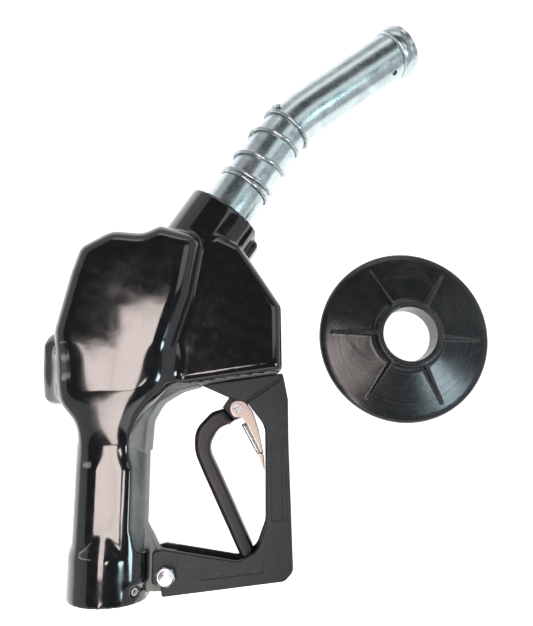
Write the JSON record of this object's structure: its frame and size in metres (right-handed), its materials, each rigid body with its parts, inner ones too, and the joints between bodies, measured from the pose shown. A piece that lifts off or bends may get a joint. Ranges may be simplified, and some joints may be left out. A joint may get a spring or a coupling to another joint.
{
  "type": "fuel nozzle",
  "caption": "Hand-operated automatic fuel dispensing nozzle with covered body, bent spout, lever, lever guard and hold-open clip, beside its loose splash guard.",
  "frame": {"origin": "centre of the hose inlet's end face, on the nozzle's mid-plane", "axes": "+Y up the handle from the hose inlet towards the spout, +X from the handle towards the lever guard, +Z square to the side that faces up as the nozzle lies on its other side"},
  "size_m": [0.2768, 0.3529, 0.066],
  "materials": {
    "cover_vinyl": "glossy moulded black vinyl",
    "cast_metal": "matt grey coated aluminium casting",
    "zinc_steel": "bright zinc plate",
    "spout_metal": "bright drawn tube",
    "wire_steel": "bright wire",
    "guard_composite": "matt charcoal moulding, lightly textured",
    "lever_black": "satin black moulding",
    "clip_zinc": "yellow zinc plate",
    "brass": "machined brass",
    "inner_steel": "machined steel",
    "rubber_seal": "nitrile rubber",
    "disc_rubber": "satin black rubber"
  },
  "bodies": {
    "housing": {"body_casting": "cast_metal", "hand_cover": "cover_vinyl", "inlet_screw": "zinc_steel", "poppet_cap": "brass", "cap_seal": "rubber_seal", "valve_seat": "brass", "stem_packing": "rubber_seal", "packing_nut": "brass", "diaphragm": "rubber_seal", "diaphragm_cap": "cast_metal", "cap_screws": "zinc_steel", "spout_tube": "spout_metal", "spout_sleeve": "spout_metal", "spout_collar": "spout_metal", "spout_spring": "wire_steel", "spout_seal": "rubber_seal", "spout_screw": "zinc_steel", "check_seat": "brass", "check_guide": "brass", "sensing_tube": "spout_metal", "lever_guard": "guard_composite", "guard_bolt": "zinc_steel", "guard_nut": "zinc_steel", "guard_screw": "zinc_steel"},
    "main_valve": {"main_poppet": "brass", "poppet_disc": "rubber_seal", "main_stem": "inner_steel", "main_spring": "inner_steel"},
    "trip": {"trip_stem": "inner_steel", "lever_pin": "zinc_steel", "latch_balls": "inner_steel", "trip_spring": "inner_steel"},
    "latch": {"latch_pin": "inner_steel", "diaphragm_spring": "inner_steel"},
    "check_valve": {"check_poppet": "brass", "check_spring": "inner_steel"},
    "lever": {"lever_arm": "lever_black", "lever_grip": "lever_black", "clip_rivet": "zinc_steel"},
    "clip": {"hold_open_clip": "clip_zinc", "clip_spring": "wire_steel"},
    "splash_guard": {"splash_guard": "disc_rubber"}
  },
  "joints": [
    {"name": "trip_drop", "type": "slide", "parent": "housing", "child": "trip", "axis": [0.1444, -0.9895, 0], "range_m": [0, 0.0045], "stiffness_N_per_m": 900, "springref_m": -0.008, "deforming": ["trip_spring"]},
    {"name": "lever_squeeze", "type": "hinge", "parent": "trip", "child": "lever", "pos_m": [0.072, 0.142, 0], "axis": [0, 0, -1], "range_deg": [0, 17], "stiffness_Nm_per_rad": 2, "springref_deg": -14.32},
    {"name": "clip_swing", "type": "hinge", "parent": "lever", "child": "clip", "pos_m": [0.0718, 0.1046, 0], "axis": [0, 0, -1], "range_deg": [0, 18], "stiffness_Nm_per_rad": 0.02, "springref_deg": -22.92},
    {"name": "main_valve_lift", "type": "slide", "parent": "housing", "child": "main_valve", "axis": [-1, 0, 0], "range_m": [0, 0.0048], "deforming": ["main_spring"]},
    {"name": "latch_lift", "type": "slide", "parent": "housing", "child": "latch", "axis": [-0.1444, 0.9895, 0], "range_m": [0, 0.003], "stiffness_N_per_m": 300, "springref_m": -0.006, "deforming": ["diaphragm_spring"]},
    {"name": "check_lift", "type": "slide", "parent": "housing", "child": "check_valve", "axis": [0.5534, 0.8329, 0], "range_m": [0, 0.005], "stiffness_N_per_m": 150, "springref_m": -0.008, "deforming": ["check_spring"]},
    {"name": "splash_guard_lift", "type": "slide", "parent": "housing", "child": "splash_guard", "axis": [0, 0, 1], "range_m": [0, 0.06]}
  ],
  "couplings": [
    {"joint": "main_valve_lift", "follows": "lever_squeeze", "m_per_rad": 0.0157}
  ]
}
